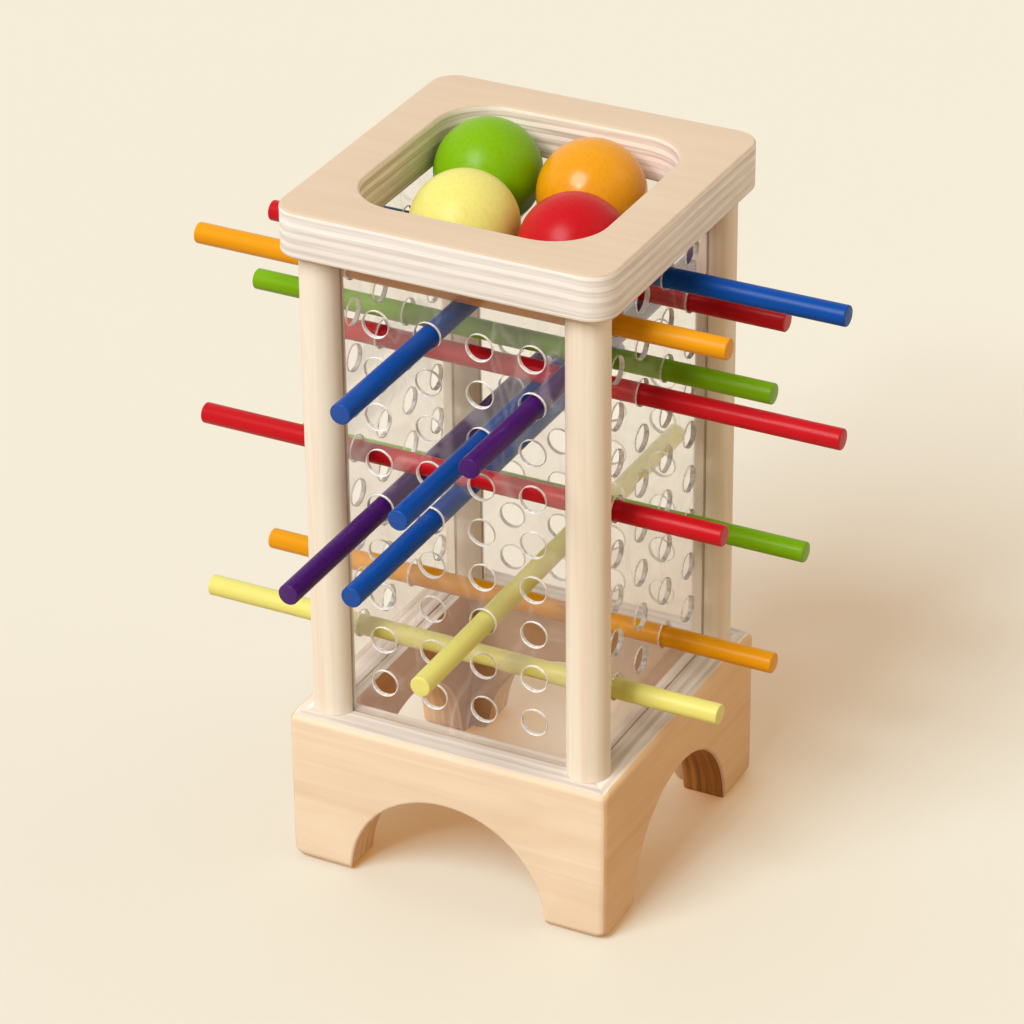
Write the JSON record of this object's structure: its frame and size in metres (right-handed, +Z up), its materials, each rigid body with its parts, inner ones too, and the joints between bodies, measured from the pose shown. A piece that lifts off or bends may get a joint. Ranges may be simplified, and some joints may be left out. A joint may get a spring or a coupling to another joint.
{
  "type": "ball drop tower",
  "caption": "Square toy tower on an arched plywood base: drilled clear panels between dowel posts guide sliding painted rods that hold up wooden balls below an open top frame.",
  "frame": {"origin": "centre of the square footprint, on the surface the tower stands on", "axes": "+Z up the tower, -Y towards the front, +X to the right seen from the front"},
  "size_m": [0.2494, 0.2293, 0.2719],
  "materials": {
    "birch_plywood": "sanded birch plywood, thin clear oil, ply layers showing on cut edges",
    "birch_dowel": "sanded pale hardwood dowel",
    "clear_acrylic": "clear polished acrylic sheet, drilled",
    "red_paint": "satin red water-based paint over turned wood",
    "orange_paint": "satin orange water-based paint over turned wood",
    "yellow_paint": "satin yellow water-based paint over turned wood",
    "green_paint": "satin green water-based paint over turned wood",
    "blue_paint": "satin blue water-based paint over turned wood",
    "purple_paint": "satin purple water-based paint over turned wood"
  },
  "bodies": {
    "tower": {"base_wall_front": "birch_plywood", "base_wall_right": "birch_plywood", "base_wall_back": "birch_plywood", "base_wall_left": "birch_plywood", "post_front_left": "birch_dowel", "post_front_right": "birch_dowel", "post_back_right": "birch_dowel", "post_back_left": "birch_dowel", "panel_front": "clear_acrylic", "panel_right": "clear_acrylic", "panel_back": "clear_acrylic", "panel_left": "clear_acrylic", "top_frame": "birch_plywood"},
    "red_rod_1": {"red_rod_1": "red_paint"},
    "red_rod_2": {"red_rod_2": "red_paint"},
    "red_rod_3": {"red_rod_3": "red_paint"},
    "orange_rod_1": {"orange_rod_1": "orange_paint"},
    "orange_rod_2": {"orange_rod_2": "orange_paint"},
    "yellow_rod_1": {"yellow_rod_1": "yellow_paint"},
    "green_rod_1": {"green_rod_1": "green_paint"},
    "green_rod_2": {"green_rod_2": "green_paint"},
    "blue_rod_1": {"blue_rod_1": "blue_paint"},
    "blue_rod_2": {"blue_rod_2": "blue_paint"},
    "blue_rod_3": {"blue_rod_3": "blue_paint"},
    "blue_rod_4": {"blue_rod_4": "blue_paint"},
    "purple_rod_1": {"purple_rod_1": "purple_paint"},
    "purple_rod_2": {"purple_rod_2": "purple_paint"},
    "yellow_rod_2": {"yellow_rod_2": "yellow_paint"},
    "green_ball": {"green_ball": "green_paint"},
    "orange_ball": {"orange_ball": "orange_paint"},
    "yellow_ball": {"yellow_ball": "yellow_paint"},
    "red_ball": {"red_ball": "red_paint"}
  },
  "joints": [
    {"name": "red_rod_1_slide", "type": "slide", "parent": "tower", "child": "red_rod_1", "axis": [1, 0, 0], "range_m": [-0.1603, 0.1897]},
    {"name": "red_rod_2_slide", "type": "slide", "parent": "tower", "child": "red_rod_2", "axis": [1, 0, 0], "range_m": [-0.1997, 0.1503]},
    {"name": "red_rod_3_slide", "type": "slide", "parent": "tower", "child": "red_rod_3", "axis": [1, 0, 0], "range_m": [-0.1646, 0.1854]},
    {"name": "orange_rod_1_slide", "type": "slide", "parent": "tower", "child": "orange_rod_1", "axis": [1, 0, 0], "range_m": [-0.1653, 0.1847]},
    {"name": "orange_rod_2_slide", "type": "slide", "parent": "tower", "child": "orange_rod_2", "axis": [1, 0, 0], "range_m": [-0.1669, 0.1831]},
    {"name": "yellow_rod_1_slide", "type": "slide", "parent": "tower", "child": "yellow_rod_1", "axis": [1, 0, 0], "range_m": [-0.1641, 0.1859]},
    {"name": "green_rod_1_slide", "type": "slide", "parent": "tower", "child": "green_rod_1", "axis": [1, 0, 0], "range_m": [-0.1646, 0.1854]},
    {"name": "green_rod_2_slide", "type": "slide", "parent": "tower", "child": "green_rod_2", "axis": [1, 0, 0], "range_m": [-0.1698, 0.1802]},
    {"name": "blue_rod_1_slide", "type": "slide", "parent": "tower", "child": "blue_rod_1", "axis": [1, 0, 0], "range_m": [-0.1919, 0.1581]},
    {"name": "blue_rod_2_slide", "type": "slide", "parent": "tower", "child": "blue_rod_2", "axis": [0, 1, 0], "range_m": [-0.1644, 0.1856]},
    {"name": "blue_rod_3_slide", "type": "slide", "parent": "tower", "child": "blue_rod_3", "axis": [0, 1, 0], "range_m": [-0.1659, 0.1841]},
    {"name": "blue_rod_4_slide", "type": "slide", "parent": "tower", "child": "blue_rod_4", "axis": [0, 1, 0], "range_m": [-0.1681, 0.1819]},
    {"name": "purple_rod_1_slide", "type": "slide", "parent": "tower", "child": "purple_rod_1", "axis": [0, 1, 0], "range_m": [-0.1601, 0.1899]},
    {"name": "purple_rod_2_slide", "type": "slide", "parent": "tower", "child": "purple_rod_2", "axis": [0, 1, 0], "range_m": [-0.1794, 0.1706]},
    {"name": "yellow_rod_2_slide", "type": "slide", "parent": "tower", "child": "yellow_rod_2", "axis": [0, 1, 0], "range_m": [-0.1791, 0.1709]},
    {"name": "green_ball_lift", "type": "slide", "parent": "tower", "child": "green_ball", "axis": [0, 0, 1], "range_m": [0, 0.05]},
    {"name": "orange_ball_lift", "type": "slide", "parent": "tower", "child": "orange_ball", "axis": [0, 0, 1], "range_m": [0, 0.05]},
    {"name": "yellow_ball_lift", "type": "slide", "parent": "tower", "child": "yellow_ball", "axis": [0, 0, 1], "range_m": [0, 0.05]},
    {"name": "red_ball_lift", "type": "slide", "parent": "tower", "child": "red_ball", "axis": [0, 0, 1], "range_m": [0, 0.05]}
  ]
}
